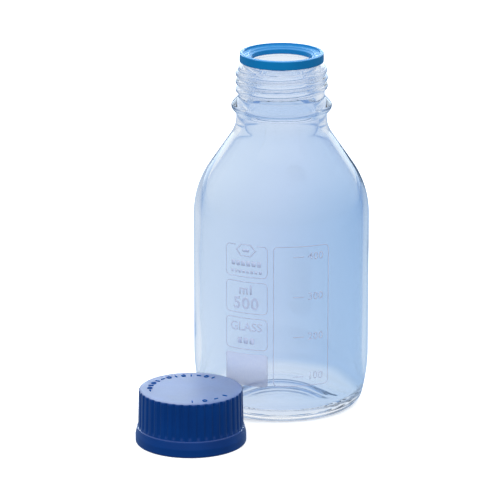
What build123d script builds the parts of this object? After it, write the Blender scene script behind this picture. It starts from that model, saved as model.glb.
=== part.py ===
from build123d import *
from math import atan, cos, degrees, radians, sin, sqrt
import os

# Laboratory reagent bottle, 500 ml, with a GL 45 screw neck, a snap-on pouring ring and a screw cap
# standing open end down on the table beside it. Millimetres, +Z up. The origin is the middle of the
# bottle's contact ring at table level, and -Y is the side that carries the enamel marks.
# Where corners are rounded, the radii are listed in the order of the corners.

SMALL_ROUNDING = 0.3

# Bottle body
BODY_RADIUS = 43.0
BODY_WALL = 3.0
SHOULDER_WALL = 2.8
BASE_THICKNESS = 4.0
PUNT_RADIUS = 30.0
PUNT_DEPTH = 3.0
FLOOR_CROWN = 1.0
HEEL_RADIUS = 7.0
HEEL_FLARE_RADIUS = 88.0
HEEL_TOP = 27.0
HEEL_INNER_RADIUS = 7.5
SHOULDER_CORNER_HEIGHT = 109.4
SHOULDER_RADIUS = 44.0

# Neck
NECK_RADIUS = 22.1
NECK_CORNER_HEIGHT = 140.1
NECK_SWEEP_RADIUS = 16.0
COLLAR_FOOT = 146.8
COLLAR_CORNER = (25.3, 150.5)
COLLAR_FOOT_ROUNDING = 1.0
COLLAR_ROUNDING = 2.3
COLLAR_TOP_ROUNDING = 1.5
THREAD_ROOT_RADIUS = 21.0
THREAD_ROOT_FOOT = 155.1
THROAT_WALL = 3.5
BORE_EASING = 12.0
THROAT_EASING = 8.0
LIP_STEP_HEIGHT = 171.6
LIP_STEP_RISE = 1.4
STEP_FOOT_ROUNDING = 0.8
STEP_TOP_ROUNDING = 0.5
LIP_RADIUS = 19.0
LIP_TOP = 174.9
LIP_ROUNDING = 1.6
BORE_RADIUS = 15.6
LIP_MIDDLE = (LIP_RADIUS + BORE_RADIUS) / 2
BORE_FOOT = 157.0

# GL 45 thread: right hand, rounded ridge
THREAD_PITCH = 4.0
THREAD_CREST_RADIUS = 22.45
THREAD_HALF_WIDTH = 1.55
THREAD_BITE = 0.2
THREAD_BACK = 1.2
THREAD_FIRST_CREST = 157.07
THREAD_START_ANGLE = 60.0
THREAD_TURNS = 3.06
THREAD_FADE_TURNS = 0.3
SECTIONS_PER_TURN = 18

# Pouring ring
RING_TOP = 177.0
RING_SKIRT_FOOT = 172.5
RING_OUTER_RADIUS = 20.5
RING_TOP_RADIUS = 20.1
RING_RIM_RADIUS = 18.7
RING_FLOOR_HEIGHT = 176.0
RING_FLOOR_RADIUS = 16.2
RING_FLOOR_FALL = 0.4
RING_STEP_RADIUS = 15.9
RING_STEP_HEIGHT = 175.15
RING_COLLAR_RADIUS = 14.7
RING_COLLAR_TOP = 174.7
RING_COLLAR_FOOT = 172.4
RING_EDGE_ROUNDING = 0.35
RING_STEP_ROUNDING = 0.15
RING_FOOT_ROUNDING = 0.2
RING_WEB_ROUNDING = 1.75
RING_CLEARANCE = 0.2

# Screw cap
CAP_CENTRE = (-43.8, -62.7)
CAP_HEIGHT = 26.2
CAP_TOP_THICKNESS = 2.2
CAP_BASE_RADIUS = 26.7
CAP_BAND_HEIGHT = 7.6
CAP_BAND_EDGE = 4.0
CAP_LEDGE_WIDTH = 0.5
CAP_LEDGE_HEIGHT = 0.3
CAP_BODY_RADIUS = 25.4
CAP_TOP_RADIUS = 24.95
CAP_FOOT_ROUNDING = 0.9
CAP_BAND_ROUNDING = 2.0
LEDGE_EDGE_ROUNDING = 0.1
LEDGE_ROOT_ROUNDING = 0.2
CAP_TOP_ROUNDING = 0.55
CAP_CEILING_ROUNDING = 0.6
CAP_MOUTH_ROUNDING = 0.4
CAP_BORE_RADIUS = 23.0
CAP_MOUTH_RADIUS = 24.2
CAP_MOUTH_DEPTH = 2.5
CAP_MOUTH_BEVEL = 1.2
CAP_THREAD_CREST_RADIUS = 21.6
CAP_THREAD_FIRST_CREST = 5.7
CAP_THREAD_START_ANGLE = 0.0
CAP_THREAD_TURNS = 2.7
CAP_THREAD_BACK = 0.3
CAP_FLUTES = 40
CAP_FLUTE_RADIUS = 1.25
CAP_FLUTE_DEPTH = 0.55
CAP_FLUTE_FOOT = 8.1
CAP_FLUTE_OVERRUN = 2.0
SEAL_INNER_RADIUS = 16.6
SEAL_OUTER_RADIUS = 17.8
SEAL_HEIGHT = 1.0
TOP_MARK_RADIUS = 19.6
TOP_MARK_HEIGHT = 0.25
TOP_MARK_WIDTH = 0.8
BACK_MARKS = 13
BACK_MARK_LENGTH = 2.8
BACK_MARKS_START = 57.0
BACK_MARKS_SPAN = 132.0
FRONT_MARKS = 4
FRONT_MARK_LENGTH = 3.6
FRONT_MARKS_START = -87.0
FRONT_MARKS_SPAN = 54.0

# Fired enamel marks, on the front of the cylinder
ENAMEL_THICKNESS = 0.1
ENAMEL_BITE = 0.03
ENAMEL_MARGIN = 5.0
CUT_START = 4.0
CUT_LENGTH = 6.0
LINE_WIDTH = 0.5
FRAME_ROUNDING = 2.4
COLUMN_AZIMUTH = -23.9
COLUMN_WIDTH = 22.0
FRAME_HEIGHT = 16.2
FRAME_PITCH = 18.3
TOP_FRAME_CENTRE = 82.9
ROW_OFFSET = 3.4
UPPER_ROW = (12.0, 3.4)
LOWER_ROW = (15.0, 4.6)
PANEL_ROUNDING = 1.2
SCALE_AZIMUTH = 12.9
SCALE_WIDTH = 27.4
SCALE_FOOT = 20.4
SCALE_TOP = 91.2
SCALE_FIRST_TICK = 25.2
SCALE_TICK_PITCH = 20.2
SCALE_TICKS = 4
TICK_OFFSET = -1.6
TICK_LENGTH = 5.4
NUMERAL_OFFSET = 6.8
NUMERAL_BLOCK = (8.0, 3.6)


def outer_wall():
    """The outside of the glass as an open line from the punt's middle to the lip's top."""
    flare_centre = BODY_RADIUS - HEEL_FLARE_RADIUS
    reach = HEEL_FLARE_RADIUS - HEEL_RADIUS
    rise = HEEL_TOP - HEEL_RADIUS
    heel_centre = flare_centre + sqrt(reach**2 - rise**2)
    share = HEEL_RADIUS / reach
    heel_end = (
        heel_centre + share * (heel_centre - flare_centre),
        HEEL_RADIUS - share * rise,
    )
    with BuildLine() as wall:
        TangentArc((0, PUNT_DEPTH), (PUNT_RADIUS, 0), tangent=(1, 0))
        Line((PUNT_RADIUS, 0), (heel_centre, 0))
        TangentArc((heel_centre, 0), heel_end, tangent=(1, 0))
        TangentArc((BODY_RADIUS, HEEL_TOP), heel_end, tangent=(0, -1))
        FilletPolyline(
            (BODY_RADIUS, HEEL_TOP),
            (BODY_RADIUS, SHOULDER_CORNER_HEIGHT),
            (NECK_RADIUS, NECK_CORNER_HEIGHT),
            (NECK_RADIUS, COLLAR_FOOT),
            COLLAR_CORNER,
            (THREAD_ROOT_RADIUS, THREAD_ROOT_FOOT),
            (THREAD_ROOT_RADIUS, LIP_STEP_HEIGHT - LIP_STEP_RISE),
            (LIP_RADIUS, LIP_STEP_HEIGHT),
            (LIP_RADIUS, LIP_TOP),
            (LIP_MIDDLE, LIP_TOP),
            radius=(
                SHOULDER_RADIUS,
                NECK_SWEEP_RADIUS,
                COLLAR_FOOT_ROUNDING,
                COLLAR_ROUNDING,
                COLLAR_TOP_ROUNDING,
                STEP_FOOT_ROUNDING,
                STEP_TOP_ROUNDING,
                LIP_ROUNDING,
            ),
        )
    return wall.line


def inner_wall():
    """The inside of the glass as an open line from the lip's top to the floor's middle."""
    slope = (BODY_RADIUS - NECK_RADIUS, NECK_CORNER_HEIGHT - SHOULDER_CORNER_HEIGHT)
    length = sqrt(slope[0] ** 2 + slope[1] ** 2)
    inner_radius = BODY_RADIUS - BODY_WALL
    throat_radius = NECK_RADIUS - THROAT_WALL
    # Where the shoulder's cone, moved in by its wall, meets the body's bore and the throat.
    cone_radius = NECK_RADIUS - SHOULDER_WALL * slope[1] / length
    cone_height = NECK_CORNER_HEIGHT - SHOULDER_WALL * slope[0] / length
    fall = slope[1] / slope[0]
    shoulder_height = cone_height - (inner_radius - cone_radius) * fall
    throat_height = cone_height - (throat_radius - cone_radius) * fall
    with BuildLine() as wall:
        FilletPolyline(
            (LIP_MIDDLE, LIP_TOP),
            (BORE_RADIUS, LIP_TOP),
            (BORE_RADIUS, BORE_FOOT),
            (throat_radius, COLLAR_FOOT),
            (throat_radius, throat_height),
            (inner_radius, shoulder_height),
            (inner_radius, BASE_THICKNESS),
            (0, BASE_THICKNESS + FLOOR_CROWN),
            radius=(
                LIP_ROUNDING,
                BORE_EASING,
                BORE_EASING,
                THROAT_EASING,
                SHOULDER_RADIUS - BODY_WALL,
                HEEL_INNER_RADIUS,
            ),
        )
    return wall.line


def thread_ridge(wall_radius, crest_radius, back_depth, first_crest, start_angle, turns):
    """A right-hand helical ridge, lofted through upright sections, that sinks into its wall at both ends."""
    side = 1 if crest_radius > wall_radius else -1
    height = abs(crest_radius - wall_radius) + THREAD_BITE
    steps = round(turns * SECTIONS_PER_TURN)
    with BuildPart() as ridge:
        for step in range(steps + 1):
            turn = step / SECTIONS_PER_TURN
            fade = max(1 - turn / THREAD_FADE_TURNS, 1 - (turns - turn) / THREAD_FADE_TURNS, 0)
            foot = wall_radius - side * (THREAD_BITE + fade * (height - THREAD_BITE / 2))
            angle = radians(start_angle + 360 * turn)
            section_plane = Plane(
                origin=(0, 0, first_crest + THREAD_PITCH * turn),
                x_dir=(cos(angle), sin(angle), 0),
                z_dir=(-sin(angle), cos(angle), 0),
            )
            back = foot - side * back_depth
            with BuildSketch(section_plane):
                with BuildLine():
                    Polyline(
                        (foot, THREAD_HALF_WIDTH),
                        (back, THREAD_HALF_WIDTH),
                        (back, -THREAD_HALF_WIDTH),
                        (foot, -THREAD_HALF_WIDTH),
                    )
                    ThreePointArc(
                        (foot, -THREAD_HALF_WIDTH),
                        (foot + side * height, 0),
                        (foot, THREAD_HALF_WIDTH),
                    )
                make_face()
        loft()
    return ridge.part


def make_bottle():
    ridge = thread_ridge(
        THREAD_ROOT_RADIUS,
        THREAD_CREST_RADIUS,
        THREAD_BACK,
        THREAD_FIRST_CREST,
        THREAD_START_ANGLE,
        THREAD_TURNS,
    )
    with BuildPart() as bottle:
        with BuildSketch(Plane.XZ):
            with BuildLine():
                add(outer_wall())
                add(inner_wall())
                Line((0, BASE_THICKNESS + FLOOR_CROWN), (0, PUNT_DEPTH))
            make_face()
        revolve(axis=Axis.Z)
        add(ridge)
    return bottle


def make_pouring_ring():
    """The skirt hugs the lip, the funnel floor drops inside the rim, and the collar lines the bore."""
    skirt_inner = LIP_RADIUS + RING_CLEARANCE
    collar_outer = BORE_RADIUS - RING_CLEARANCE
    web_under = LIP_TOP + RING_CLEARANCE
    with BuildPart() as ring:
        with BuildSketch(Plane.XZ):
            with BuildLine():
                FilletPolyline(
                    (skirt_inner, RING_SKIRT_FOOT),
                    (RING_OUTER_RADIUS, RING_SKIRT_FOOT),
                    (RING_TOP_RADIUS, RING_TOP),
                    (RING_RIM_RADIUS, RING_TOP),
                    (RING_RIM_RADIUS, RING_FLOOR_HEIGHT),
                    (RING_FLOOR_RADIUS, RING_FLOOR_HEIGHT - RING_FLOOR_FALL),
                    (RING_STEP_RADIUS, RING_STEP_HEIGHT),
                    (RING_COLLAR_RADIUS, RING_COLLAR_TOP),
                    (RING_COLLAR_RADIUS, RING_COLLAR_FOOT),
                    (collar_outer, RING_COLLAR_FOOT),
                    (collar_outer, web_under),
                    (skirt_inner, web_under),
                    radius=(
                        SMALL_ROUNDING,
                        RING_EDGE_ROUNDING,
                        RING_EDGE_ROUNDING,
                        RING_EDGE_ROUNDING,
                        SMALL_ROUNDING,
                        RING_STEP_ROUNDING,
                        RING_STEP_ROUNDING,
                        SMALL_ROUNDING,
                        RING_FOOT_ROUNDING,
                        RING_FOOT_ROUNDING,
                        RING_WEB_ROUNDING,
                        RING_WEB_ROUNDING,
                    ),
                    close=True,
                )
            make_face()
        revolve(axis=Axis.Z)
    return ring


def cap_shell():
    """The cap's turned shape about its own axis: flared band, tapered body, bore, mouth and lip seal."""
    ceiling = CAP_HEIGHT - CAP_TOP_THICKNESS
    with BuildPart() as shell:
        with BuildSketch(Plane.XZ):
            with BuildLine():
                FilletPolyline(
                    (CAP_BASE_RADIUS, 0),
                    (CAP_BASE_RADIUS, CAP_BAND_EDGE),
                    (CAP_BODY_RADIUS + CAP_LEDGE_WIDTH, CAP_BAND_HEIGHT),
                    (CAP_BODY_RADIUS, CAP_BAND_HEIGHT + CAP_LEDGE_HEIGHT),
                    (CAP_TOP_RADIUS, CAP_HEIGHT),
                    (0, CAP_HEIGHT),
                    (0, ceiling),
                    (SEAL_INNER_RADIUS, ceiling),
                    (SEAL_INNER_RADIUS, ceiling - SEAL_HEIGHT),
                    (SEAL_OUTER_RADIUS, ceiling - SEAL_HEIGHT),
                    (SEAL_OUTER_RADIUS, ceiling),
                    (CAP_BORE_RADIUS, ceiling),
                    (CAP_BORE_RADIUS, CAP_MOUTH_DEPTH + CAP_MOUTH_BEVEL),
                    (CAP_MOUTH_RADIUS, CAP_MOUTH_DEPTH),
                    (CAP_MOUTH_RADIUS, 0),
                    radius=(
                        CAP_FOOT_ROUNDING,
                        CAP_BAND_ROUNDING,
                        LEDGE_EDGE_ROUNDING,
                        LEDGE_ROOT_ROUNDING,
                        CAP_TOP_ROUNDING,
                        0,
                        0,
                        SMALL_ROUNDING,
                        SMALL_ROUNDING,
                        SMALL_ROUNDING,
                        SMALL_ROUNDING,
                        CAP_CEILING_ROUNDING,
                        CAP_MOUTH_ROUNDING,
                        CAP_MOUTH_ROUNDING,
                        SMALL_ROUNDING,
                    ),
                    close=True,
                )
            make_face()
        revolve(axis=Axis.Z)
    return shell.part


def mark_arc(count, start, span):
    """Places for the marks of one arc on the cap's top, from one end of the arc to the other."""
    return PolarLocations(TOP_MARK_RADIUS, count, start, span, endpoint=True)


def make_cap():
    """The cap stands open end down; flutes run up the tapered body, and plain raised dashes ring the top."""
    taper = (CAP_BODY_RADIUS - CAP_TOP_RADIUS) / (CAP_HEIGHT - CAP_BAND_HEIGHT)
    flute_length = CAP_HEIGHT - CAP_FLUTE_FOOT + CAP_FLUTE_OVERRUN
    flute_middle = CAP_FLUTE_FOOT + flute_length / 2
    flute_axis_radius = (
        CAP_BODY_RADIUS
        - taper * (flute_middle - CAP_BAND_HEIGHT)
        + CAP_FLUTE_RADIUS
        - CAP_FLUTE_DEPTH
    )
    ridge = thread_ridge(
        CAP_BORE_RADIUS,
        CAP_THREAD_CREST_RADIUS,
        CAP_THREAD_BACK,
        CAP_THREAD_FIRST_CREST,
        CAP_THREAD_START_ANGLE,
        CAP_THREAD_TURNS,
    )
    with BuildPart() as cap:
        add(cap_shell())
        with Locations((0, 0, flute_middle)):
            with PolarLocations(flute_axis_radius, CAP_FLUTES):
                Cylinder(
                    CAP_FLUTE_RADIUS,
                    flute_length,
                    rotation=(0, -degrees(atan(taper)), 0),
                    mode=Mode.SUBTRACT,
                )
        add(ridge)
        with BuildSketch(Plane.XY.offset(CAP_HEIGHT)):
            with mark_arc(BACK_MARKS, BACK_MARKS_START, BACK_MARKS_SPAN):
                SlotOverall(BACK_MARK_LENGTH, TOP_MARK_WIDTH, rotation=90)
            with mark_arc(FRONT_MARKS, FRONT_MARKS_START, FRONT_MARKS_SPAN):
                SlotOverall(FRONT_MARK_LENGTH, TOP_MARK_WIDTH, rotation=90)
        extrude(amount=TOP_MARK_HEIGHT)
    cap.part = cap.part.moved(Location((*CAP_CENTRE, 0)))
    return cap


def tangent_plane(azimuth):
    """A plane just inside the glass, facing outwards, with its y along +Z from table level."""
    angle = radians(azimuth)
    outward = (sin(angle), -cos(angle), 0)
    start = BODY_RADIUS - CUT_START
    return Plane(
        origin=(outward[0] * start, outward[1] * start, 0),
        x_dir=(cos(angle), sin(angle), 0),
        z_dir=outward,
    )


def enamel_skin():
    """The thin cylinder that every fired mark is a piece of."""
    with BuildPart() as skin:
        with BuildSketch(Plane.XY.offset(SCALE_FOOT - ENAMEL_MARGIN)):
            Circle(BODY_RADIUS + ENAMEL_THICKNESS)
            Circle(BODY_RADIUS - ENAMEL_BITE, mode=Mode.SUBTRACT)
        extrude(amount=SCALE_TOP - SCALE_FOOT + 2 * ENAMEL_MARGIN)
    return skin.part


def fire_enamel(azimuth, drawing, skin):
    """Cut a flat drawing out of the enamel skin at this azimuth."""
    with BuildPart() as mark:
        with BuildSketch(tangent_plane(azimuth)):
            add(drawing)
        extrude(amount=CUT_LENGTH)
        add(skin, mode=Mode.INTERSECT)
    return mark


def frame_drawing(height):
    """An open frame of the left column, centred at this height, with two plain rows in it."""
    with BuildSketch() as drawing:
        with Locations((0, height)):
            RectangleRounded(COLUMN_WIDTH, FRAME_HEIGHT, FRAME_ROUNDING)
            RectangleRounded(
                COLUMN_WIDTH - 2 * LINE_WIDTH,
                FRAME_HEIGHT - 2 * LINE_WIDTH,
                FRAME_ROUNDING - LINE_WIDTH,
                mode=Mode.SUBTRACT,
            )
        with Locations((0, height + ROW_OFFSET)):
            Rectangle(*UPPER_ROW)
        with Locations((0, height - ROW_OFFSET)):
            Rectangle(*LOWER_ROW)
    return drawing.sketch


def panel_drawing(height):
    """The filled writing panel at the foot of the column."""
    with BuildSketch() as drawing:
        with Locations((0, height)):
            RectangleRounded(COLUMN_WIDTH, FRAME_HEIGHT, PANEL_ROUNDING)
    return drawing.sketch


def scale_drawing():
    """The graduation frame with one tick and one plain numeral block for each 100 ml."""
    height = SCALE_TOP - SCALE_FOOT
    with BuildSketch() as drawing:
        with Locations((0, SCALE_FOOT + height / 2)):
            RectangleRounded(SCALE_WIDTH, height, FRAME_ROUNDING)
            RectangleRounded(
                SCALE_WIDTH - 2 * LINE_WIDTH,
                height - 2 * LINE_WIDTH,
                FRAME_ROUNDING - LINE_WIDTH,
                mode=Mode.SUBTRACT,
            )
        for tick in range(SCALE_TICKS):
            level = SCALE_FIRST_TICK + tick * SCALE_TICK_PITCH
            with Locations((TICK_OFFSET, level)):
                Rectangle(TICK_LENGTH, LINE_WIDTH)
            with Locations((NUMERAL_OFFSET, level)):
                Rectangle(*NUMERAL_BLOCK)
    return drawing.sketch


def finish(piece, label):
    """Name a finished piece and write it out."""
    piece.part.label = label
    export_step(piece.part, f"parts/{label}.step")
    return piece


os.makedirs("parts", exist_ok=True)
finish(make_bottle(), "glass_bottle")
finish(make_pouring_ring(), "pouring_ring")
finish(make_cap(), "screw_cap")

enamel = enamel_skin()
column = {
    "emblem_frame": TOP_FRAME_CENTRE,
    "volume_frame": TOP_FRAME_CENTRE - FRAME_PITCH,
    "material_frame": TOP_FRAME_CENTRE - 2 * FRAME_PITCH,
}
for name, centre in column.items():
    finish(fire_enamel(COLUMN_AZIMUTH, frame_drawing(centre), enamel), name)
panel = panel_drawing(TOP_FRAME_CENTRE - 3 * FRAME_PITCH)
finish(fire_enamel(COLUMN_AZIMUTH, panel, enamel), "writing_panel")
finish(fire_enamel(SCALE_AZIMUTH, scale_drawing(), enamel), "graduation_scale")
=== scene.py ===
"""A 500 ml laboratory reagent bottle: clear glass, a pouring ring, a ribbed screw cap and fired marks.

Outlines are (radius, height) points in millimetres about a piece's own axis; meshes are in metres.
"""
from math import asin, ceil, cos, degrees, floor, pi, radians, sin, sqrt, tan

import bmesh
import bpy
from mathutils import Matrix, Vector, noise


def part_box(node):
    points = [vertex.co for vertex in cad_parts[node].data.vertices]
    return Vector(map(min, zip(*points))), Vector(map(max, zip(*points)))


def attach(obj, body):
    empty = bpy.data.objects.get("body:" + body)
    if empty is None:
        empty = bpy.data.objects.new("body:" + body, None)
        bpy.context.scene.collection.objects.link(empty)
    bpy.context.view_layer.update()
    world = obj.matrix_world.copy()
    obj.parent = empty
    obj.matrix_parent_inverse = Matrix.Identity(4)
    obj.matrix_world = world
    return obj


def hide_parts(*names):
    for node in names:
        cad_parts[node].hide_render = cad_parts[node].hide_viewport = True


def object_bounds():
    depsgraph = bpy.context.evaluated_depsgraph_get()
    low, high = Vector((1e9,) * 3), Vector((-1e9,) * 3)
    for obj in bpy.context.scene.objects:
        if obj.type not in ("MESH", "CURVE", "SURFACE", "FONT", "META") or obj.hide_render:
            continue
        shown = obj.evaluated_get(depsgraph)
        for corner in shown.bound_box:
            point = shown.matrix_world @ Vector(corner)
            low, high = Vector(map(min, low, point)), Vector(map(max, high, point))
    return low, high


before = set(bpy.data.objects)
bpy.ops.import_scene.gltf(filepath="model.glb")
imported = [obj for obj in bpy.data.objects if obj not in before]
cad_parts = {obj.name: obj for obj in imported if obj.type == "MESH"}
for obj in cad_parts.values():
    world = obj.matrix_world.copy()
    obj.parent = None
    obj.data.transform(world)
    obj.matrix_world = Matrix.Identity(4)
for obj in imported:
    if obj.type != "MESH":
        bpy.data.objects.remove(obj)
cad_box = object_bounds()
MM = 0.001


# ---------------------------------------------------------------- sizes from the frame

bottle_low, bottle_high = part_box("glass_bottle")
ring_low, ring_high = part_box("pouring_ring")
cap_low, cap_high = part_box("screw_cap")
panel_low, panel_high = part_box("writing_panel")
scale_low, scale_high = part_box("graduation_scale")

BODY_RADIUS = (bottle_high.x - bottle_low.x) / 2 / MM
LIP_TOP = bottle_high.z / MM
RING_FOOT = ring_low.z / MM
RING_TOP = ring_high.z / MM
CAP_MARK_HEIGHT = 0.25
CAP_HEIGHT = (cap_high.z - cap_low.z) / MM - CAP_MARK_HEIGHT
CAP_BASE_RADIUS = (cap_high.x - cap_low.x) / 2 / MM
CAP_CENTRE = (cap_low + cap_high) / 2
SCALE_FOOT = scale_low.z / MM
SCALE_TOP = scale_high.z / MM

# Bottle body, millimetres
BODY_WALL = 3.0
SHOULDER_WALL = 2.8
BASE_THICKNESS = 4.0
PUNT_RADIUS = 30.0
PUNT_DEPTH = 3.0
FLOOR_CROWN = 1.0
HEEL_RADIUS = 7.0
HEEL_INNER_RADIUS = 7.5
HEEL_FLARE_RADIUS = 88.0
HEEL_TOP = 27.0
SHOULDER_CORNER = 109.4
SHOULDER_RADIUS = 44.0

# Neck, millimetres
NECK_RADIUS = 22.1
NECK_CORNER = 140.1
NECK_SWEEP_RADIUS = 16.0
COLLAR_FOOT = 146.8
COLLAR_CORNER = (25.3, 150.5)
COLLAR_ROUNDINGS = [1.0, 2.3, 1.5]
THREAD_ROOT = 21.0
THREAD_FOOT = 155.1
LIP_STEP = 171.6
LIP_STEP_RISE = 1.4
LIP_STEP_ROUNDINGS = [0.8, 0.5]
LIP_RADIUS = 19.0
LIP_ROUNDING = 1.6
BORE_RADIUS = 15.6
BORE_FOOT = 157.0
LIP_MIDDLE = (LIP_RADIUS + BORE_RADIUS) / 2
THROAT_RADIUS = 18.6
THROAT_EASINGS = [30, 24, 7]

# The neck's thread: turns are counted from the crest at THREAD_START, at angle 0.
THREAD_PITCH = 4.0
THREAD_DEPTH = 1.45
THREAD_START = 160.4
THREAD_FIRST_TURN = -0.83
THREAD_LAST_TURN = 2.22
THREAD_FADE = 0.33
THREAD_TOP = LIP_STEP - 0.6
RIDGE_RADIUS = 1.55
RIDGE_FOOT_SOFTNESS = 0.06

# Waves in the blown inner wall: height in millimetres, waves across, waves up, place in the noise
WALL_SWELL = (0.35, 1.3, 0.018, 3)
WALL_RIPPLE = (0.07, 4, 0.05, 9)
SWELL_FROM_RADIUS = BORE_RADIUS + 0.5
SWELL_FULL_RADIUS = 22

# Pouring ring, millimetres
RING_CLEARANCE = 0.2
RING_OUTER_RADIUS = 20.5
RING_TOP_RADIUS = 20.4
RING_EDGE_FALL = 0.3
RING_RIM_RADIUS = 18.7
RING_FLOOR = [(18.6, 176.0), (16.2, 175.6)]
RING_STEP = (15.9, 175.15)
RING_BORE_RADIUS = 14.7
RING_BORE_TOP = 174.7
RING_ROUNDINGS = [0.3, 0.35, 0.35, 0.3, 0.3, 0.15, 0.15, 0.3, 0.2, 0.2, 1.75, 1.75]

# Cap, millimetres
CAP_CEILING = CAP_HEIGHT - 2.2
CAP_BODY_RADIUS = 25.4
CAP_TOP_RADIUS = 24.95
CAP_SIDE_FROM = CAP_TOP_RADIUS - 0.8
CAP_FLAT_RADIUS = 15
CAP_BAND_EDGE = 4.0
CAP_BAND_TOP = 7.6
CAP_LEDGE_WIDTH = 0.5
CAP_LEDGE_TOP = CAP_BAND_TOP + 0.3
CAP_BORE_RADIUS = 23.0
CAP_BORE_FOOT = 3.7
CAP_MOUTH_RADIUS = 24.2
CAP_MOUTH_DEPTH = 2.5
CAP_ROUNDINGS = [0.3, 0.3, 0.3, 0.3, 0.6, 0.4, 0.4, 0.3, 0.9, 2.0, 0.15, 0.25, 0.8]
SEAL_INNER_RADIUS = 16.6
SEAL_OUTER_RADIUS = 17.8
SEAL_HEIGHT = 1.0
CAP_THREAD_FOOT = 4
CAP_THREAD_START = 5.7
CAP_THREAD_TURNS = 2.7
CAP_THREAD_FADE = 0.3
CAP_THREAD_DEPTH = 1.4
CAP_FLUTES = 40
FLUTE_RADIUS = 1.25
FLUTE_DEPTH = 0.55
FLUTE_RUNOUT_TOP = CAP_BAND_TOP + 2.2
FLUTE_EDGE_BLEND = 0.12
FLUTE_EDGE_REACH = 2
UNCUT = 99.0

# Raised marks on the cap's top: arcs are (number of marks, first angle, span), in degrees
TOP_MARK_RADIUS = 19.6
TOP_MARK_ARCS = [(13, 57, 132), (4, -87, 54)]
TOP_MARK_SINK = 0.05
TOP_MARK_BEVEL = 0.06
TOP_MARK_TOP_SCALE = 0.94

# The raised marks' own sizes: (width, height, corner rounding)
MARK_RING = (2.4, 2.7, 1.1)
MARK_RING_HOLE = (1.3, 1.6, 0.6)
MARK_UPRIGHT = (0.65, 2.7, 0.3)
MARK_DASH = (2.3, 0.65, 0.3)

# Fired marks, millimetres, with azimuths in degrees
ENAMEL_FOOT_RADIUS = BODY_RADIUS + 0.015
ENAMEL_TOP_RADIUS = BODY_RADIUS + 0.09
COLUMN_AZIMUTH = -23.9
COLUMN_WIDTH = 22.2
FRAME_HEIGHT = 16.2
FRAME_PITCH = 18.3
FRAME_ROUNDING = 2.4
PANEL_ROUNDING = 1.2
LINE = 0.45
EMBLEM_GAP = 11.2
EMBLEM_RISE = 5.4
EMBLEM_STRETCH = 1.5
EMBLEM_OUTER_RADIUS = 3.6
EMBLEM_INNER_RADIUS = 3.0
EMBLEM_BAR = (3.6, 1.6)
EMBLEM_BAR_ROUNDING = 0.75
UNIT_SIZE = 6.8
VOLUME_SIZE = 8.2
MATERIAL_SIZE = 6.0
SCALE_AZIMUTH = 12.9
SCALE_WIDTH = 28.0
FIRST_TICK = 25.2
TICK_PITCH = 20.2
TICK_COUNT = 4
TICK_LENGTH = 5.4
TICK_OFFSET = -1.6
NUMERAL_SIZE = 5.2
NUMERAL_OFFSET = 7.0

# Rows of plain blocks: (how many, pitch, size of a block)
UPPER_EMBLEM_ROW = (6, 2.7, (2.0, 2.6))
LOWER_EMBLEM_ROW = (8, 2.1, (1.5, 1.5))
MATERIAL_ROW = (3, 3.2, (2.2, 3.0))
BLOCK_ROUNDING = 0.3

# How finely the meshes are divided: points round the axis, and the longest run between points
BOTTLE_SEGMENTS = 288
RING_SEGMENTS = 192
CAP_SEGMENTS = 800
BODY_SPACING = 1.6
NECK_SPACING = 0.22
RING_SPACING = 0.4
CAP_FLAT_SPACING = 2.5
CAP_BORE_SPACING = 0.3
CAP_SPACING = 0.6


# ---------------------------------------------------------------- outlines and meshes


def arc(centre, radius, start, end, steps):
    """Points on a circle from one angle to another, in degrees."""
    points = []
    for i in range(steps + 1):
        angle = radians(start + (end - start) * i / steps)
        points.append((centre[0] + radius * cos(angle), centre[1] + radius * sin(angle)))
    return points


def rounded(corners, radii, closed=False, degrees_per_step=9):
    """A polyline whose corners are rounded: one radius for each corner that turns."""
    count = len(corners)
    turning = range(count) if closed else range(1, count - 1)
    points = [] if closed else [corners[0]]
    for index, radius in zip(turning, radii):
        here = Vector(corners[index])
        back = (Vector(corners[index - 1]) - here).normalized()
        ahead = (Vector(corners[(index + 1) % count]) - here).normalized()
        turn = pi - back.angle(ahead)
        if radius == 0 or turn < 0.001:
            points.append(tuple(here))
            continue
        reach = radius * tan(turn / 2)
        centre = here + (back + ahead).normalized() * radius / cos(turn / 2)
        spoke = here + back * reach - centre
        side = 1 if back.cross(ahead) < 0 else -1
        steps = max(2, ceil(degrees(turn) / degrees_per_step))
        for i in range(steps + 1):
            a = side * turn * i / steps
            points.append(
                (
                    centre.x + spoke.x * cos(a) - spoke.y * sin(a),
                    centre.y + spoke.x * sin(a) + spoke.y * cos(a),
                )
            )
    if not closed:
        points.append(corners[-1])
    return points


def filled_in(points, longest, closed=False):
    """The same outline with points added so that no run is longer than this."""
    ends = list(points) + ([points[0]] if closed else [])
    out = []
    for a, b in zip(ends, ends[1:]):
        run = sqrt((b[0] - a[0]) ** 2 + (b[1] - a[1]) ** 2)
        if run < 1e-6:
            continue
        cuts = max(1, ceil(run / longest))
        for i in range(cuts):
            out.append((a[0] + (b[0] - a[0]) * i / cuts, a[1] + (b[1] - a[1]) * i / cuts))
    if not closed:
        out.append(ends[-1])
    return out


def rounded_box(width, height, radius, middle):
    """Corner-rounded rectangle as a closed list of points."""
    x, y = width / 2, height / 2
    corners = [(-x, -y), (x, -y), (x, y), (-x, y)]
    points = rounded(corners, [radius] * 4, closed=True, degrees_per_step=15)
    return [(p[0] + middle[0], p[1] + middle[1]) for p in points]


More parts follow.
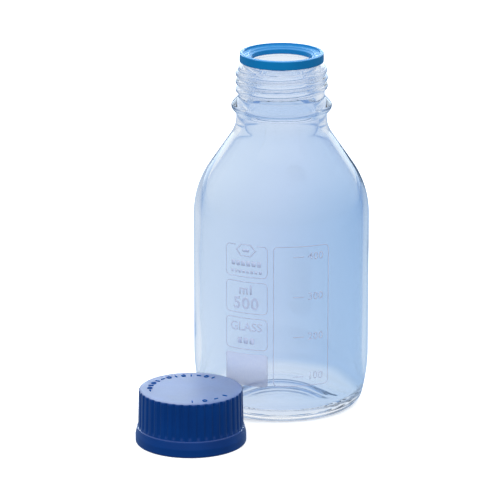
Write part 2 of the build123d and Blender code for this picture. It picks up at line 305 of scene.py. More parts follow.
def new_piece(name, bm, centre=(0, 0, 0)):
    """A smooth-shaded object from a bmesh in millimetres, moved to its place in metres."""
    bmesh.ops.recalc_face_normals(bm, faces=bm.faces)
    for vert in bm.verts:
        vert.co = Vector(vert.co) * MM + Vector(centre)
    mesh = bpy.data.meshes.new(name)
    bm.to_mesh(mesh)
    bm.free()
    mesh.polygons.foreach_set("use_smooth", [True] * len(mesh.polygons))
    piece = bpy.data.objects.new(name, mesh)
    bpy.context.scene.collection.objects.link(piece)
    return piece


def lathe(name, outline, segments, shape=None, closed=False, centre=(0, 0, 0)):
    """Turns an outline about Z. shape(radius, height, angle, index) may move a point in or out."""
    bm = bmesh.new()
    rings = []
    for index, (radius, height) in enumerate(outline):
        if radius < 1e-4:
            rings.append([bm.verts.new((0, 0, height))])
            continue
        ring = []
        for s in range(segments):
            angle = 2 * pi * s / segments
            r, z = (radius, height) if shape is None else shape(radius, height, angle, index)
            ring.append(bm.verts.new((r * cos(angle), r * sin(angle), z)))
        rings.append(ring)
    pairs = list(zip(rings, rings[1:]))
    if closed:
        pairs.append((rings[-1], rings[0]))
    for low, high in pairs:
        for s in range(segments):
            t = (s + 1) % segments
            if len(low) == 1:
                bm.faces.new((low[0], high[s], high[t]))
            elif len(high) == 1:
                bm.faces.new((low[s], low[t], high[0]))
            else:
                bm.faces.new((low[s], low[t], high[t], high[s]))
    return new_piece(name, bm, centre)


def smooth_step(value, low, high):
    """0 below low, 1 above high, and an S curve between them."""
    t = min(max((value - low) / (high - low), 0), 1)
    return t * t * (3 - 2 * t)


def ridge_height(offset, depth):
    """Height of the rounded thread ridge at this distance along the axis from its crest."""
    bulge = sqrt(max(RIDGE_RADIUS**2 - offset**2, 0)) + depth - RIDGE_RADIUS
    return (bulge + sqrt(bulge**2 + RIDGE_FOOT_SOFTNESS)) / 2


def helix_lift(angle, height, start, first_turn, last_turn, fade, depth):
    """Ridge height of a right-hand helix whose crest is at height start at angle 0 on turn 0."""
    turns_up = (height - start) / THREAD_PITCH
    here = angle / (2 * pi)
    turn = here + round(turns_up - here)
    offset = (turns_up - turn) * THREAD_PITCH
    grown = smooth_step(turn, first_turn, first_turn + fade)
    grown *= 1 - smooth_step(turn, last_turn - fade, last_turn)
    return grown * ridge_height(offset, depth)


# ---------------------------------------------------------------- glass bottle


def bottle_outside():
    """From the punt's middle, over the heel, shoulder, collar and thread, to the lip's top."""
    flare_centre = BODY_RADIUS - HEEL_FLARE_RADIUS
    reach = HEEL_FLARE_RADIUS - HEEL_RADIUS
    rise = HEEL_TOP - HEEL_RADIUS
    heel_centre = flare_centre + sqrt(reach**2 - rise**2)
    tilt = degrees(asin(rise / reach))
    punt_curve = (PUNT_RADIUS**2 + PUNT_DEPTH**2) / (2 * PUNT_DEPTH)
    punt_angle = degrees(asin(PUNT_RADIUS / punt_curve))
    punt = arc((0, PUNT_DEPTH - punt_curve), punt_curve, 90, 90 - punt_angle, 12)
    heel = arc((heel_centre, HEEL_RADIUS), HEEL_RADIUS, -90, -tilt, 14)
    flare = arc((flare_centre, HEEL_TOP), HEEL_FLARE_RADIUS, -tilt, 0, 16)
    upper = rounded(
        [
            (BODY_RADIUS, HEEL_TOP),
            (BODY_RADIUS, SHOULDER_CORNER),
            (NECK_RADIUS, NECK_CORNER),
            (NECK_RADIUS, COLLAR_FOOT),
            COLLAR_CORNER,
            (THREAD_ROOT, THREAD_FOOT),
            (THREAD_ROOT, LIP_STEP - LIP_STEP_RISE),
            (LIP_RADIUS, LIP_STEP),
            (LIP_RADIUS, LIP_TOP),
            (LIP_MIDDLE, LIP_TOP),
        ],
        [SHOULDER_RADIUS, NECK_SWEEP_RADIUS, *COLLAR_ROUNDINGS, *LIP_STEP_ROUNDINGS, LIP_ROUNDING],
        degrees_per_step=3,
    )
    low = filled_in(punt + heel[:1], 3) + heel[1:-1] + flare[:-1]
    fine_from = THREAD_FOOT - 2
    body = [p for p in upper if p[1] < fine_from]
    neck = [p for p in upper if p[1] >= fine_from]
    return low + filled_in(body, BODY_SPACING)[:-1] + filled_in([body[-1]] + neck, NECK_SPACING)


def bottle_inside():
    """From the lip's top down the bore and the shoulder to the middle of the floor."""
    run = BODY_RADIUS - NECK_RADIUS
    drop = NECK_CORNER - SHOULDER_CORNER
    length = sqrt(run**2 + drop**2)
    inner = BODY_RADIUS - BODY_WALL
    cone_radius = NECK_RADIUS - SHOULDER_WALL * drop / length
    cone_height = NECK_CORNER - SHOULDER_WALL * run / length
    corners = [
        (LIP_MIDDLE, LIP_TOP),
        (BORE_RADIUS, LIP_TOP),
        (BORE_RADIUS, BORE_FOOT),
        (THROAT_RADIUS, COLLAR_FOOT),
        (THROAT_RADIUS, cone_height - (THROAT_RADIUS - cone_radius) * drop / run),
        (inner, cone_height - (inner - cone_radius) * drop / run),
        (inner, BASE_THICKNESS),
        (0, BASE_THICKNESS + FLOOR_CROWN),
    ]
    radii = [LIP_ROUNDING, *THROAT_EASINGS, SHOULDER_RADIUS - BODY_WALL, HEEL_INNER_RADIUS]
    return filled_in(rounded(corners, radii, degrees_per_step=4), BODY_SPACING)


def neck_thread_lift(angle, height):
    """How far the neck's thread stands out of the glass here."""
    turns = (THREAD_FIRST_TURN, THREAD_LAST_TURN, THREAD_FADE)
    return helix_lift(angle, height, THREAD_START, *turns, THREAD_DEPTH)


def wall_wave(angle, height, wave):
    """One of the smooth random waves of the inner wall, as WALL_SWELL describes it."""
    rise, across, up, place = wave
    return rise * noise.noise(Vector((cos(angle) * across, sin(angle) * across, height * up + place)))


def build_bottle():
    """One turned shell: the outside with its thread, then the gently uneven inside."""
    outside = bottle_outside()
    inside = bottle_inside()
    split = len(outside)

    def shape(radius, height, angle, index):
        if index < split:
            lift = neck_thread_lift(angle, height) if THREAD_FOOT < height < THREAD_TOP else 0
            return radius + lift, height
        if radius < SWELL_FROM_RADIUS:
            return radius, height
        swell = wall_wave(angle, height, WALL_SWELL) + wall_wave(angle, height, WALL_RIPPLE)
        return radius + swell * smooth_step(radius, SWELL_FROM_RADIUS, SWELL_FULL_RADIUS), height

    return lathe("bottle_glass", outside + inside[1:], BOTTLE_SEGMENTS, shape)


# ---------------------------------------------------------------- pouring ring and cap


def build_ring():
    """Skirt outside the lip, funnel floor inside the rim, and a short collar down the bore."""
    skirt_inner = LIP_RADIUS + RING_CLEARANCE
    collar_outer = BORE_RADIUS - RING_CLEARANCE
    outline = rounded(
        [
            (skirt_inner, RING_FOOT),
            (RING_OUTER_RADIUS, RING_FOOT + 0.1),
            (RING_TOP_RADIUS, RING_TOP - RING_EDGE_FALL),
            (RING_RIM_RADIUS, RING_TOP),
            *RING_FLOOR,
            RING_STEP,
            (RING_BORE_RADIUS, RING_BORE_TOP),
            (RING_BORE_RADIUS, RING_FOOT),
            (collar_outer, RING_FOOT),
            (collar_outer, LIP_TOP + RING_CLEARANCE),
            (skirt_inner, LIP_TOP + RING_CLEARANCE),
        ],
        RING_ROUNDINGS,
        closed=True,
        degrees_per_step=12,
    )
    outline = filled_in(outline, RING_SPACING, closed=True)
    return lathe("pouring_ring_body", outline, RING_SEGMENTS, closed=True)


def cap_outline():
    """From the ceiling's middle, past the lip seal and down the bore, then up the outside and over."""
    return rounded(
        [
            (0, CAP_CEILING),
            (SEAL_INNER_RADIUS, CAP_CEILING),
            (SEAL_INNER_RADIUS, CAP_CEILING - SEAL_HEIGHT),
            (SEAL_OUTER_RADIUS, CAP_CEILING - SEAL_HEIGHT),
            (SEAL_OUTER_RADIUS, CAP_CEILING),
            (CAP_BORE_RADIUS, CAP_CEILING),
            (CAP_BORE_RADIUS, CAP_BORE_FOOT),
            (CAP_MOUTH_RADIUS, CAP_MOUTH_DEPTH),
            (CAP_MOUTH_RADIUS, 0),
            (CAP_BASE_RADIUS, 0),
            (CAP_BASE_RADIUS, CAP_BAND_EDGE),
            (CAP_BODY_RADIUS + CAP_LEDGE_WIDTH, CAP_BAND_TOP),
            (CAP_BODY_RADIUS, CAP_LEDGE_TOP),
            (CAP_TOP_RADIUS, CAP_HEIGHT),
            (0, CAP_HEIGHT),
        ],
        CAP_ROUNDINGS,
        degrees_per_step=12,
    )


def flute_cut(angle, height):
    """Radius that the flutes cut the body down to at this angle, or UNCUT between flutes."""
    taper = (CAP_BODY_RADIUS - CAP_TOP_RADIUS) / (CAP_HEIGHT - CAP_BAND_TOP)
    body = CAP_BODY_RADIUS - taper * (height - CAP_BAND_TOP)
    pitch = 2 * pi / CAP_FLUTES
    off = (angle / pitch - floor(angle / pitch + 0.5)) * pitch * body
    if abs(off) >= FLUTE_RADIUS:
        return UNCUT
    runout = FLUTE_DEPTH * (1 - smooth_step(height, CAP_LEDGE_TOP, FLUTE_RUNOUT_TOP))
    return body + FLUTE_RADIUS - FLUTE_DEPTH + runout - sqrt(FLUTE_RADIUS**2 - off**2)


def cap_spacing(start, end):
    """Longest run between points: coarse in the flat middle, fine down the bore, medium elsewhere."""
    if end[0] < CAP_FLAT_RADIUS:
        return CAP_FLAT_SPACING
    if start[0] < CAP_BORE_RADIUS + 1 and start[1] < CAP_CEILING:
        return CAP_BORE_SPACING
    return CAP_SPACING


def flute_bite(radius, cut):
    """How much a flute takes off this radius, with the flute's edge rounded over."""
    gap = radius - cut
    return (gap + sqrt(gap**2 + FLUTE_EDGE_BLEND**2)) / 2 if gap > -FLUTE_EDGE_REACH else 0


def build_cap():
    """One turned shell, with flutes down its outside and a thread up its bore."""
    corners = cap_outline()
    outline = []
    for start, end in zip(corners, corners[1:]):
        outline += filled_in([start, end], cap_spacing(start, end))[:-1]
    outline.append(corners[-1])
    thread = (CAP_THREAD_START, 0, CAP_THREAD_TURNS, CAP_THREAD_FADE, CAP_THREAD_DEPTH)

    def shape(radius, height, angle, index):
        on_bore = abs(radius - CAP_BORE_RADIUS) < 0.05
        if radius > CAP_SIDE_FROM and height > CAP_LEDGE_TOP:
            radius -= flute_bite(radius, flute_cut(angle, height))
        elif on_bore and CAP_THREAD_FOOT < height < CAP_CEILING - SEAL_HEIGHT:
            radius -= helix_lift(angle, height, *thread)
        return radius, height

    centre = (CAP_CENTRE.x, CAP_CENTRE.y, cap_low.z)
    return lathe("cap_shell", outline, CAP_SEGMENTS, shape, centre=centre)


def raised_shape(bm, outline, angle, hole=None):
    """One raised mark on the cap's top: its outline turned to face outwards at this angle."""
    turn = Matrix.Rotation(angle - pi / 2, 2)
    spoke = Vector((cos(angle), sin(angle))) * TOP_MARK_RADIUS
    floor_z = CAP_HEIGHT - TOP_MARK_SINK
    top_z = CAP_HEIGHT + CAP_MARK_HEIGHT
    outer = [spoke + turn @ Vector(p) for p in outline]
    crown = [spoke + turn @ (Vector(p) * TOP_MARK_TOP_SCALE) for p in outline]
    levels = [(outer, floor_z), (outer, top_z - TOP_MARK_BEVEL), (crown, top_z)]
    if hole:
        inner = [spoke + turn @ Vector(p) for p in hole]
        levels += [(inner, top_z), (inner, floor_z)]
    loops = [[bm.verts.new((p.x, p.y, z)) for p in ring] for ring, z in levels]
    pairs = list(zip(loops, loops[1:]))
    if hole:
        pairs.append((loops[-1], loops[0]))
    for low, high in pairs:
        for i in range(len(low)):
            j = (i + 1) % len(low)
            bm.faces.new((low[i], low[j], high[j], high[i]))
    if not hole:
        bm.faces.new(loops[-1])
        bm.faces.new(list(reversed(loops[0])))


def build_cap_marks():
    """Two arcs of plain raised rings, uprights and dashes where the real cap has words."""
    bm = bmesh.new()
    ring = rounded_box(*MARK_RING, (0, 0))
    ring_hole = rounded_box(*MARK_RING_HOLE, (0, 0))
    upright = rounded_box(*MARK_UPRIGHT, (0, 0))
    dash = rounded_box(*MARK_DASH, (0, 0))
    kinds = [(upright, None), (ring, ring_hole), (dash, None), (upright, None), (ring, ring_hole)]
    for count, start, span in TOP_MARK_ARCS:
        for i in range(count):
            outline, hole = kinds[i % len(kinds)]
            raised_shape(bm, outline, radians(start + span * i / (count - 1)), hole)
    return new_piece("cap_marks", bm, (CAP_CENTRE.x, CAP_CENTRE.y, cap_low.z))


# ---------------------------------------------------------------- fired marks


def wrap_on_body(name, bm, azimuth):
    """Bends a flat drawing, x across and y up, round the body at this azimuth and thickens it."""
    span = max(abs(v.co.x) for v in bm.verts)
    for i in range(-ceil(span), ceil(span) + 1):
        geometry = list(bm.verts) + list(bm.edges) + list(bm.faces)
        bmesh.ops.bisect_plane(bm, geom=geometry, plane_co=(i, 0, 0), plane_no=(1, 0, 0))
    thick = bmesh.ops.extrude_face_region(bm, geom=list(bm.faces))
    top = {v for v in thick["geom"] if isinstance(v, bmesh.types.BMVert)}
    for vert in bm.verts:
        radius = ENAMEL_TOP_RADIUS if vert in top else ENAMEL_FOOT_RADIUS
        angle = radians(azimuth) + vert.co.x / BODY_RADIUS
        vert.co = (radius * sin(angle), -radius * cos(angle), vert.co.y)
    return new_piece(name, bm)


def frame_lines(width, height, middle):
    """The outer and the inner edge of a frame's line, centred at this height."""
    outer = rounded_box(width, height, FRAME_ROUNDING, (0, middle))
    inner = rounded_box(width - 2 * LINE, height - 2 * LINE, FRAME_ROUNDING - LINE, (0, middle))
    return outer, inner


def add_band(bm, outer, inner, closed=True):
    """Faces between two lists of the same length."""
    a = [bm.verts.new((x, y, 0)) for x, y in outer]
    b = [bm.verts.new((x, y, 0)) for x, y in inner]
    for i in range(len(a) if closed else len(a) - 1):
        j = (i + 1) % len(a)
        bm.faces.new((a[i], a[j], b[j], b[i]))


def add_bar(bm, width, height, middle, radius=0.2):
    """A filled bar with rounded corners."""
    bm.faces.new([bm.verts.new((x, y, 0)) for x, y in rounded_box(width, height, radius, middle)])


def add_text(bm, text, size, middle, bold=0.0, spacing=1.0):
    """Plain numerals or letters, centred on a point."""
    curve = bpy.data.curves.new("text", "FONT")
    curve.body = text
    curve.size = size
    curve.align_x = "CENTER"
    curve.align_y = "CENTER"
    curve.offset = bold
    curve.space_character = spacing
    curve.resolution_u = 4
    holder = bpy.data.objects.new("text", curve)
    bpy.context.scene.collection.objects.link(holder)
    mesh = bpy.data.meshes.new_from_object(holder)
    for vert in mesh.vertices:
        vert.co = (vert.co.x + middle[0], vert.co.y + middle[1], 0)
    bm.from_mesh(mesh)
    bpy.data.objects.remove(holder)
    bpy.data.curves.remove(curve)
    bpy.data.meshes.remove(mesh)


def add_broken_frame(bm, middle, gap):
    """A frame of the column whose top line is left open over this width."""
    top = middle + FRAME_HEIGHT / 2
    outer, inner = frame_lines(COLUMN_WIDTH, FRAME_HEIGHT, middle)
    turned = len(outer) // 2
    outer = outer[turned:] + outer[:turned]
    inner = inner[turned:] + inner[:turned]
    cut = max(range(len(outer)), key=lambda i: (outer[i][1] > top - 0.001, outer[i][0]))
    outer = [(-gap / 2, top)] + outer[cut + 1 :] + outer[: cut + 1] + [(gap / 2, top)]
    inner = [(-gap / 2, top - LINE)] + inner[cut + 1 :] + inner[: cut + 1] + [(gap / 2, top - LINE)]
    add_band(bm, outer, inner, closed=False)


def add_row(bm, count, pitch, size, height):
    """A row of plain blocks where the real bottle carries words."""
    for i in range(count):
        add_bar(bm, *size, ((i - (count - 1) / 2) * pitch, height), BLOCK_ROUNDING)


def hexagon(radius, height):
    """A hexagon centred at this height, and stretched sideways."""
    return [(EMBLEM_STRETCH * x, y + height) for x, y in arc((0, 0), radius, 0, 360, 6)[:-1]]


def build_emblem_frame(middle):
    """Top frame, with a plain hexagon set into its top line and plain blocks in place of words."""
    bm = bmesh.new()
    add_broken_frame(bm, middle, EMBLEM_GAP)
    centre = middle + EMBLEM_RISE
    add_band(bm, hexagon(EMBLEM_OUTER_RADIUS, centre), hexagon(EMBLEM_INNER_RADIUS, centre))
    add_bar(bm, *EMBLEM_BAR, (0, centre), EMBLEM_BAR_ROUNDING)
    add_row(bm, *UPPER_EMBLEM_ROW, middle - 1.2)
    add_row(bm, *LOWER_EMBLEM_ROW, middle - 5.3)
    return wrap_on_body("mark_emblem", bm, COLUMN_AZIMUTH)


def build_volume_frame(middle):
    """Frame with the volume in plain letters and numerals."""
    bm = bmesh.new()
    add_band(bm, *frame_lines(COLUMN_WIDTH, FRAME_HEIGHT, middle))
    add_text(bm, "ml", UNIT_SIZE, (-0.2, middle + 3.7), bold=0.16, spacing=1.12)
    add_text(bm, "500", VOLUME_SIZE, (0, middle - 3.2), bold=0.2, spacing=1.12)
    return wrap_on_body("mark_volume", bm, COLUMN_AZIMUTH)


def build_material_frame(middle):
    """Frame with the general name of the material over a row of plain blocks."""
    bm = bmesh.new()
    add_band(bm, *frame_lines(COLUMN_WIDTH, FRAME_HEIGHT, middle))
    add_text(bm, "GLASS", MATERIAL_SIZE, (0, middle + 3.3), bold=0.08)
    add_row(bm, *MATERIAL_ROW, middle - 3.6)
    return wrap_on_body("mark_material", bm, COLUMN_AZIMUTH)


def build_panel():
    """The filled panel at the column's foot, to write on in pencil."""
    bm = bmesh.new()
    height = (panel_high.z - panel_low.z) / MM
    middle = (panel_high.z + panel_low.z) / 2 / MM
    add_bar(bm, COLUMN_WIDTH, height, (0, middle), PANEL_ROUNDING)
    return wrap_on_body("mark_panel", bm, COLUMN_AZIMUTH)


def build_scale():
    """The tall graduation frame, with a tick and a numeral for each 100 ml."""
    bm = bmesh.new()
    height = SCALE_TOP - SCALE_FOOT
    add_band(bm, *frame_lines(SCALE_WIDTH, height, SCALE_FOOT + height / 2))
    for i in range(TICK_COUNT):
        level = FIRST_TICK + TICK_PITCH * i
        numeral = str(100 * (i + 1))
        add_bar(bm, TICK_LENGTH, LINE, (TICK_OFFSET, level))
        add_text(bm, numeral, NUMERAL_SIZE, (NUMERAL_OFFSET, level), bold=0.03, spacing=1.05)
    return wrap_on_body("mark_scale", bm, SCALE_AZIMUTH)


# ---------------------------------------------------------------- materials


GLASS_IOR = 1.473
# Blue cast of the glass with painted light across it: pale at the left, at 0, deeper at the right, at
# 1.
GLASS_TINT_AND_PAINTED_LIGHT = [(0.0, (0.79, 0.865, 0.955)), (0.45, (0.71, 0.80, 0.93)), (1.0, (0.57, 0.715, 0.885))]
GLASS_EDGES = [(0.75, (1, 1, 1)), (1.0, (0.55, 0.70, 0.88))]
# Painted light: the neck and the base are paler than the body; the collar is a deeper blue.
NECK_PAINTED_LIGHT_TINT = (0.84, 0.89, 0.965)
COLLAR_TINT = (0.62, 0.735, 0.89)
BASE_PAINTED_LIGHT_TINT = (0.96, 0.98, 1.0)

# Heights between which one tint gives way to the next, millimetres
BASE_ZONE = (3, 9)
# Over the shoulder the painted light across the glass slides by SHOULDER_SHIFT.
SHOULDER_ZONE = (SHOULDER_CORNER - 25, SHOULDER_CORNER + 15)
SHOULDER_SHIFT = 0.15
NECK_ZONE = (136, COLLAR_FOOT)
COLLAR_ZONE_FOOT = (148.5, 149.5)
COLLAR_ZONE_TOP = (155.0, 156.0)

RING_BLUES = [(0.3, (0.0, 0.19, 0.48)), (0.7, (0.0, 0.225, 0.54))]
CAP_BLUES = [(0.3, (0.0, 0.033, 0.18)), (0.7, (0.0, 0.044, 0.225))]
CAP_MARK_BLUES = [(0.3, (0.0, 0.05, 0.25)), (0.7, (0.0, 0.065, 0.30))]
ENAMEL_LILACS = [(0.3, (0.66, 0.73, 0.98)), (0.7, (0.74, 0.80, 1.0))]

# Surface grain: noise scales, bump strengths, and the bump's depth in metres
PLASTIC_GRAIN = 1500
PLASTIC_CLOUD = 60
PLASTIC_BUMP = 0.04
ENAMEL_GRAIN = 1400
ENAMEL_BUMP = 0.2
GRAIN_DEPTH = 0.00002
ROUGHNESS_SPREAD = 0.05


def new_material(name):
    """A material with its node tree and its Principled shader."""
    material = bpy.data.materials.new(name)
    material.use_nodes = True
    tree = material.node_tree
    shader = tree.nodes["Principled BSDF"]
    return material, tree, shader


def add_node(tree, kind, **settings):
    """A node with these properties set, or input sockets where the name is one."""
    node = tree.nodes.new("ShaderNode" + kind)
    for key, value in settings.items():
        label = key.replace("_", " ")
        if label in node.inputs:
            node.inputs[label].default_value = value
        else:
            setattr(node, key, value)
    return node


def math_node(tree, operation, first, second=0.0):
    """A Math node fed by sockets or by numbers."""
    node = add_node(tree, "Math", operation=operation)
    for socket, value in zip(node.inputs, (first, second)):
        if isinstance(value, (int, float)):
            socket.default_value = value
        else:
            tree.links.new(value, socket)
    return node.outputs[0]


def ramp(tree, factor, stops):
    """A colour ramp over a socket. Each stop is (position, colour)."""
    node = add_node(tree, "ValToRGB")
    while len(node.color_ramp.elements) < len(stops):
        node.color_ramp.elements.new(0.5)
    for element, (position, colour) in zip(node.color_ramp.elements, stops):
        element.position = position
        element.color = (*colour, 1)
    tree.links.new(factor, node.inputs[0])
    return node.outputs[0]


def object_axes(tree):
    """Sockets X, Y and Z of the point on the piece, in metres."""
    place = add_node(tree, "TexCoord")
    split = add_node(tree, "SeparateXYZ")
    tree.links.new(place.outputs["Object"], split.inputs[0])
    return split.outputs


def blend_colours(tree, factor, first, second, mode="MIX"):
    """A colour Mix node fed by sockets, numbers or colours."""
    node = add_node(tree, "Mix", data_type="RGBA", blend_type=mode)
    for socket, value in ((node.inputs[0], factor), (node.inputs[6], first), (node.inputs[7], second)):
        if isinstance(value, (int, float)):
            socket.default_value = value
        elif isinstance(value, tuple):
            socket.default_value = (*value, 1)
        else:
            tree.links.new(value, socket)
    return node.outputs[2]


def height_step(tree, z, low, high, result=1.0):
    """0 below one height and result above the other, in millimetres, with an S curve between."""
    step = add_node(tree, "MapRange", interpolation_type="SMOOTHSTEP", To_Max=result)
    step.inputs["From Min"].default_value = low * MM
    step.inputs["From Max"].default_value = high * MM
    tree.links.new(z, step.inputs["Value"])
    return step.outputs[0]


def glass_material():
    """Clear glass with a blue cast, deeper where seen edge on, and painted light: palest at neck, base
    and left.
    """
    material, tree, shader = new_material("tinted_glass_painted_light")
    shader.inputs["Transmission Weight"].default_value = 1.0
    shader.inputs["IOR"].default_value = GLASS_IOR
    shader.inputs["Roughness"].default_value = 0.0
    axes = object_axes(tree)
    z = axes["Z"]
    # Painted light: the tint runs from pale at the left to deeper at the right, shifted over the
    # shoulder.
    across = add_node(tree, "MapRange", From_Min=-BODY_RADIUS * MM, From_Max=BODY_RADIUS * MM)
    tree.links.new(axes["X"], across.inputs["Value"])
    shift = height_step(tree, z, *SHOULDER_ZONE, SHOULDER_SHIFT)
    place = math_node(tree, "SUBTRACT", across.outputs[0], shift)
    tint_and_painted_light = ramp(tree, place, GLASS_TINT_AND_PAINTED_LIGHT)
    # Painted light: a paler neck and base; a deeper blue over the collar.
    tint_and_painted_light = blend_colours(tree, height_step(tree, z, *NECK_ZONE), tint_and_painted_light, NECK_PAINTED_LIGHT_TINT)
    tint_and_painted_light = blend_colours(tree, height_step(tree, z, *COLLAR_ZONE_FOOT), tint_and_painted_light, COLLAR_TINT)
    tint_and_painted_light = blend_colours(tree, height_step(tree, z, *COLLAR_ZONE_TOP), tint_and_painted_light, NECK_PAINTED_LIGHT_TINT)
    tint_and_painted_light = blend_colours(tree, height_step(tree, z, *BASE_ZONE), BASE_PAINTED_LIGHT_TINT, tint_and_painted_light)
    facing = add_node(tree, "LayerWeight", Blend=0.5)
    edge = ramp(tree, facing.outputs["Facing"], GLASS_EDGES)
    colour = blend_colours(tree, 1.0, tint_and_painted_light, edge, "MULTIPLY")
    tree.links.new(colour, shader.inputs["Base Color"])
    return material


def noise_grain(tree, scale):
    """Noise over the piece, from 0 to 1."""
    place = add_node(tree, "TexCoord")
    grain = add_node(tree, "TexNoise", Scale=scale, Detail=3.0)
    tree.links.new(place.outputs["Object"], grain.inputs["Vector"])
    return grain.outputs[0]


def add_bump(tree, shader, grain, strength):
    """A fine moulded or fired surface: the grain as a small bump."""
    bump = add_node(tree, "Bump", Strength=strength, Distance=GRAIN_DEPTH)
    tree.links.new(grain, bump.inputs["Height"])
    tree.links.new(bump.outputs[0], shader.inputs["Normal"])


def plastic_material(name, blues, roughness, specular):
    """Moulded polypropylene: a faint cloudiness in the colour, and a fine satin grain."""
    material, tree, shader = new_material(name)
    grain = noise_grain(tree, PLASTIC_GRAIN)
    cloud = noise_grain(tree, PLASTIC_CLOUD)
    tree.links.new(ramp(tree, cloud, blues), shader.inputs["Base Color"])
    low, high = roughness - ROUGHNESS_SPREAD, roughness + ROUGHNESS_SPREAD
    rough = add_node(tree, "MapRange", To_Min=low, To_Max=high)
    tree.links.new(grain, rough.inputs["Value"])
    tree.links.new(rough.outputs[0], shader.inputs["Roughness"])
    add_bump(tree, shader, grain, PLASTIC_BUMP)
    shader.inputs["Specular IOR Level"].default_value = specular
    return material


def enamel_material():
    """Thin fired enamel: matte, pale lilac, a little mottled, with the glass showing through it."""
    material, tree, shader = new_material("fired_enamel")
    mottle = noise_grain(tree, ENAMEL_GRAIN)
    tree.links.new(ramp(tree, mottle, ENAMEL_LILACS), shader.inputs["Base Color"])
    add_bump(tree, shader, mottle, ENAMEL_BUMP)
    shader.inputs["Roughness"].default_value = 0.75
    shader.inputs["Specular IOR Level"].default_value = 0.1
    shader.inputs["Alpha"].default_value = 0.5
    return material


def give(piece, material, body, node):
    """A piece gets its material and rides on its body in place of its CAD node."""
    piece.data.materials.clear()
    piece.data.materials.append(material)
    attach(piece, body)
    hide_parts(node)


glass = glass_material()
ring_blue = plastic_material("ring_plastic", RING_BLUES, roughness=0.40, specular=0.5)
cap_blue = plastic_material("cap_plastic", CAP_BLUES, roughness=0.32, specular=0.40)
mark_blue = plastic_material("cap_mark_plastic", CAP_MARK_BLUES, roughness=0.75, specular=0.1)
enamel = enamel_material()

frame_top = panel_high.z / MM - FRAME_HEIGHT / 2 + 3 * FRAME_PITCH
give(build_bottle(), glass, "bottle", "glass_bottle")
ring_piece = build_ring()
cap_piece = build_cap()
marks_piece = build_cap_marks()
give(ring_piece, ring_blue, "ring", "pouring_ring")
give(cap_piece, cap_blue, "cap", "screw_cap")
give(marks_piece, mark_blue, "cap", "screw_cap")
give(build_emblem_frame(frame_top), enamel, "bottle", "emblem_frame")
give(build_volume_frame(frame_top - FRAME_PITCH), enamel, "bottle", "volume_frame")
give(build_material_frame(frame_top - 2 * FRAME_PITCH), enamel, "bottle", "material_frame")
give(build_panel(), enamel, "bottle", "writing_panel")
give(build_scale(), enamel, "bottle", "graduation_scale")


# ---------------------------------------------------------------- stage, light and camera


# The floor, in metres: what glass and plastic see of it darkens towards the front and the sides.
FLOOR_SIZE = 4.0
FLOOR_GAP = 0.00005
FLOOR_GREY = 0.95
FLOOR_GLOW = 0.45
FLOOR_DARK_FROM = -0.10
FLOOR_BRIGHT_FROM = 0.0
FLOOR_SIDE_FROM = 0.10
FLOOR_SIDE_TO = 0.40
FLOOR_BOUNCE = [(0.0, (0.02, 0.03, 0.05)), (1.0, (1.0, 1.0, 1.0))]
FLOOR_MIRRORED = [(0.0, (0.10, 0.19, 0.36)), (1.0, (0.36, 0.52, 0.76))]
FLOOR_THROUGH_GLASS = [(0.0, (0.38, 0.52, 0.74)), (1.0, (1.0, 1.0, 1.0))]

# The studio all round: ramps run from the front, at 0, to the back, at 1.
STUDIO_ROUND = [
    (0.0, (0.004, 0.006, 0.01)),
    (0.45, (0.02, 0.03, 0.04)),
    (0.75, (0.14, 0.16, 0.18)),
    (0.88, (0.25, 0.29, 0.32)),
    (0.97, (0.76, 0.9, 1.0)),
]
STUDIO_GAIN = 2.4
STUDIO_THROUGH_GLASS = [(0.3, (0.38, 0.52, 0.74)), (0.65, (0.50, 0.64, 0.83)), (0.92, (1.0, 1.0, 1.0))]
STUDIO_TOP = (1.8, 1.8, 1.8)

# Lights: place and (width, height) in metres, power in watts
FILL_PLACE = (-0.4, -1.3, 1.1)
FILL_SIZE = (1.2, 1.2)
FILL_POWER = 12.0
FILL_COLOUR = (0.80, 0.90, 1.0)
SHEEN_PLACE = (0.0, 1.6, 0.6)
SHEEN_SIZE = (3.0, 0.7)
SHEEN_POWER = 13.0
SHEEN_COLOUR = (0.74, 0.88, 1.0)
LIGHT_BOUNCES = 32

# Camera: lens and sensor in millimetres, place in metres, pitch below level in degrees
CAMERA_LENS = 272.52
CAMERA_SENSOR = 36
CAMERA_PLACE = (-0.01537, -1.78387, 0.60671)
CAMERA_PITCH = 16.543


def floor_share(tree):
    """How bright the floor is to the object: 1 behind its middle, 0 in front and far aside."""
    axes = object_axes(tree)
    depth = add_node(tree, "MapRange", From_Min=FLOOR_DARK_FROM, From_Max=FLOOR_BRIGHT_FROM)
    tree.links.new(axes["Y"], depth.inputs["Value"])
    side = add_node(tree, "MapRange", To_Min=1.0, To_Max=0.0)
    side.inputs["From Min"].default_value = FLOOR_SIDE_FROM
    side.inputs["From Max"].default_value = FLOOR_SIDE_TO
    tree.links.new(math_node(tree, "ABSOLUTE", axes["X"]), side.inputs["Value"])
    return math_node(tree, "MULTIPLY", depth.outputs[0], side.outputs[0])


def floor_glow(tree, rays):
    """The floor's light as mirrored, as seen through glass, and as bounced on to the object."""
    share = floor_share(tree)
    mirrored = ramp(tree, share, FLOOR_MIRRORED)
    refracted = ramp(tree, share, FLOOR_THROUGH_GLASS)
    bounced = ramp(tree, share, FLOOR_BOUNCE)
    seen = blend_colours(tree, rays.outputs["Is Transmission Ray"], mirrored, refracted)
    seen = blend_colours(tree, rays.outputs["Is Diffuse Ray"], seen, bounced)
    glow = add_node(tree, "Emission")
    tree.links.new(seen, glow.inputs["Color"])
    return glow.outputs[0]


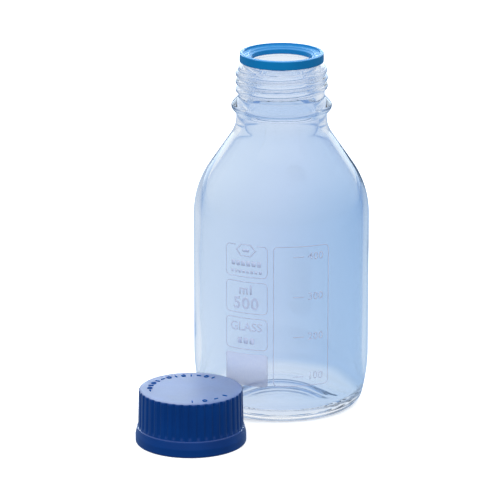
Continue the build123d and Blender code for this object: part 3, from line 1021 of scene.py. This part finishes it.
def floor_material():
    """White to the eye. Its front bounces little light, as in a studio lit from behind."""
    material, tree, shader = new_material("pale_floor")
    shader.inputs["Base Color"].default_value = (FLOOR_GREY, FLOOR_GREY, FLOOR_GREY, 1)
    shader.inputs["Roughness"].default_value = 1.0
    shader.inputs["Specular IOR Level"].default_value = 0.0
    shader.inputs["Emission Color"].default_value = (1, 1, 1, 1)
    shader.inputs["Emission Strength"].default_value = FLOOR_GLOW
    rays = add_node(tree, "LightPath")
    choose = add_node(tree, "MixShader")
    tree.links.new(rays.outputs["Is Camera Ray"], choose.inputs[0])
    tree.links.new(floor_glow(tree, rays), choose.inputs[1])
    tree.links.new(shader.outputs[0], choose.inputs[2])
    tree.links.new(choose.outputs[0], tree.nodes["Material Output"].inputs["Surface"])
    material.cycles.emission_sampling = "NONE"
    return material


def build_floor():
    """A flat white floor just under the bottle."""
    bm = bmesh.new()
    bmesh.ops.create_grid(bm, x_segments=1, y_segments=1, size=FLOOR_SIZE / MM)
    floor_piece = new_piece("floor", bm, (0, 0, -FLOOR_GAP))
    floor_piece.data.materials.append(floor_material())


def build_world():
    """White to the eye; it lights from behind and above and fades to a dark studio in front."""
    world = bpy.data.worlds.new("studio")
    bpy.context.scene.world = world
    world.use_nodes = True
    tree = world.node_tree
    rays = add_node(tree, "LightPath")
    place = add_node(tree, "TexCoord")
    split = add_node(tree, "SeparateXYZ")
    tree.links.new(place.outputs["Generated"], split.inputs[0])
    towards = add_node(tree, "MapRange", From_Min=-1.0, From_Max=1.0)
    tree.links.new(split.outputs["Y"], towards.inputs["Value"])
    around = ramp(tree, towards.outputs[0], STUDIO_ROUND)
    bright = blend_colours(tree, 1.0, around, (STUDIO_GAIN,) * 3, "MULTIPLY")
    above = math_node(tree, "MAXIMUM", split.outputs["Z"], 0.0)
    studio = blend_colours(tree, above, bright, STUDIO_TOP)
    refracted = ramp(tree, towards.outputs[0], STUDIO_THROUGH_GLASS)
    studio = blend_colours(tree, rays.outputs["Is Transmission Ray"], studio, refracted)
    colour = blend_colours(tree, rays.outputs["Is Camera Ray"], studio, (1.0, 1.0, 1.0))
    tree.links.new(colour, tree.nodes["Background"].inputs["Color"])


def build_softbox(name, place, size, power, colour):
    """A soft light that faces the object and doesn't show in the picture or through the glass."""
    light = bpy.data.lights.new(name, "AREA")
    light.shape = "RECTANGLE"
    light.size, light.size_y = size
    light.energy = power
    light.color = colour
    holder = bpy.data.objects.new(name, light)
    bpy.context.scene.collection.objects.link(holder)
    holder.location = place
    away = holder.location - (cad_box[0] + cad_box[1]) / 2
    holder.rotation_euler = away.to_track_quat("Z", "Y").to_euler()
    holder.visible_camera = False
    holder.visible_transmission = False
    return holder


def build_lights(plastics):
    """A fill over the camera that makes no highlight, and a strip behind that only the plastics see."""
    fill = build_softbox("fill", FILL_PLACE, FILL_SIZE, FILL_POWER, FILL_COLOUR)
    fill.visible_glossy = False
    sheen = build_softbox("sheen", SHEEN_PLACE, SHEEN_SIZE, SHEEN_POWER, SHEEN_COLOUR)
    sheen.visible_diffuse = False
    sheen.data.cycles.use_multiple_importance_sampling = False
    lit = bpy.data.collections.new("plastics")
    for piece in plastics:
        lit.objects.link(piece)
    sheen.light_linking.receiver_collection = lit
    sheen.light_linking.blocker_collection = lit


def build_camera():
    """A long lens, level from side to side, that looks a little down on the object."""
    camera = bpy.data.objects.new("camera", bpy.data.cameras.new("camera"))
    bpy.context.scene.collection.objects.link(camera)
    camera.data.lens = CAMERA_LENS
    camera.data.sensor_width = CAMERA_SENSOR
    camera.location = CAMERA_PLACE
    camera.rotation_euler = (radians(90 - CAMERA_PITCH), 0, 0)
    bpy.context.scene.camera = camera


build_floor()
build_world()
build_lights([ring_piece, cap_piece, marks_piece])
build_camera()
scene = bpy.context.scene
scene.view_settings.view_transform = "Standard"
scene.cycles.max_bounces = LIGHT_BOUNCES
scene.cycles.glossy_bounces = LIGHT_BOUNCES
scene.cycles.transmission_bounces = LIGHT_BOUNCES
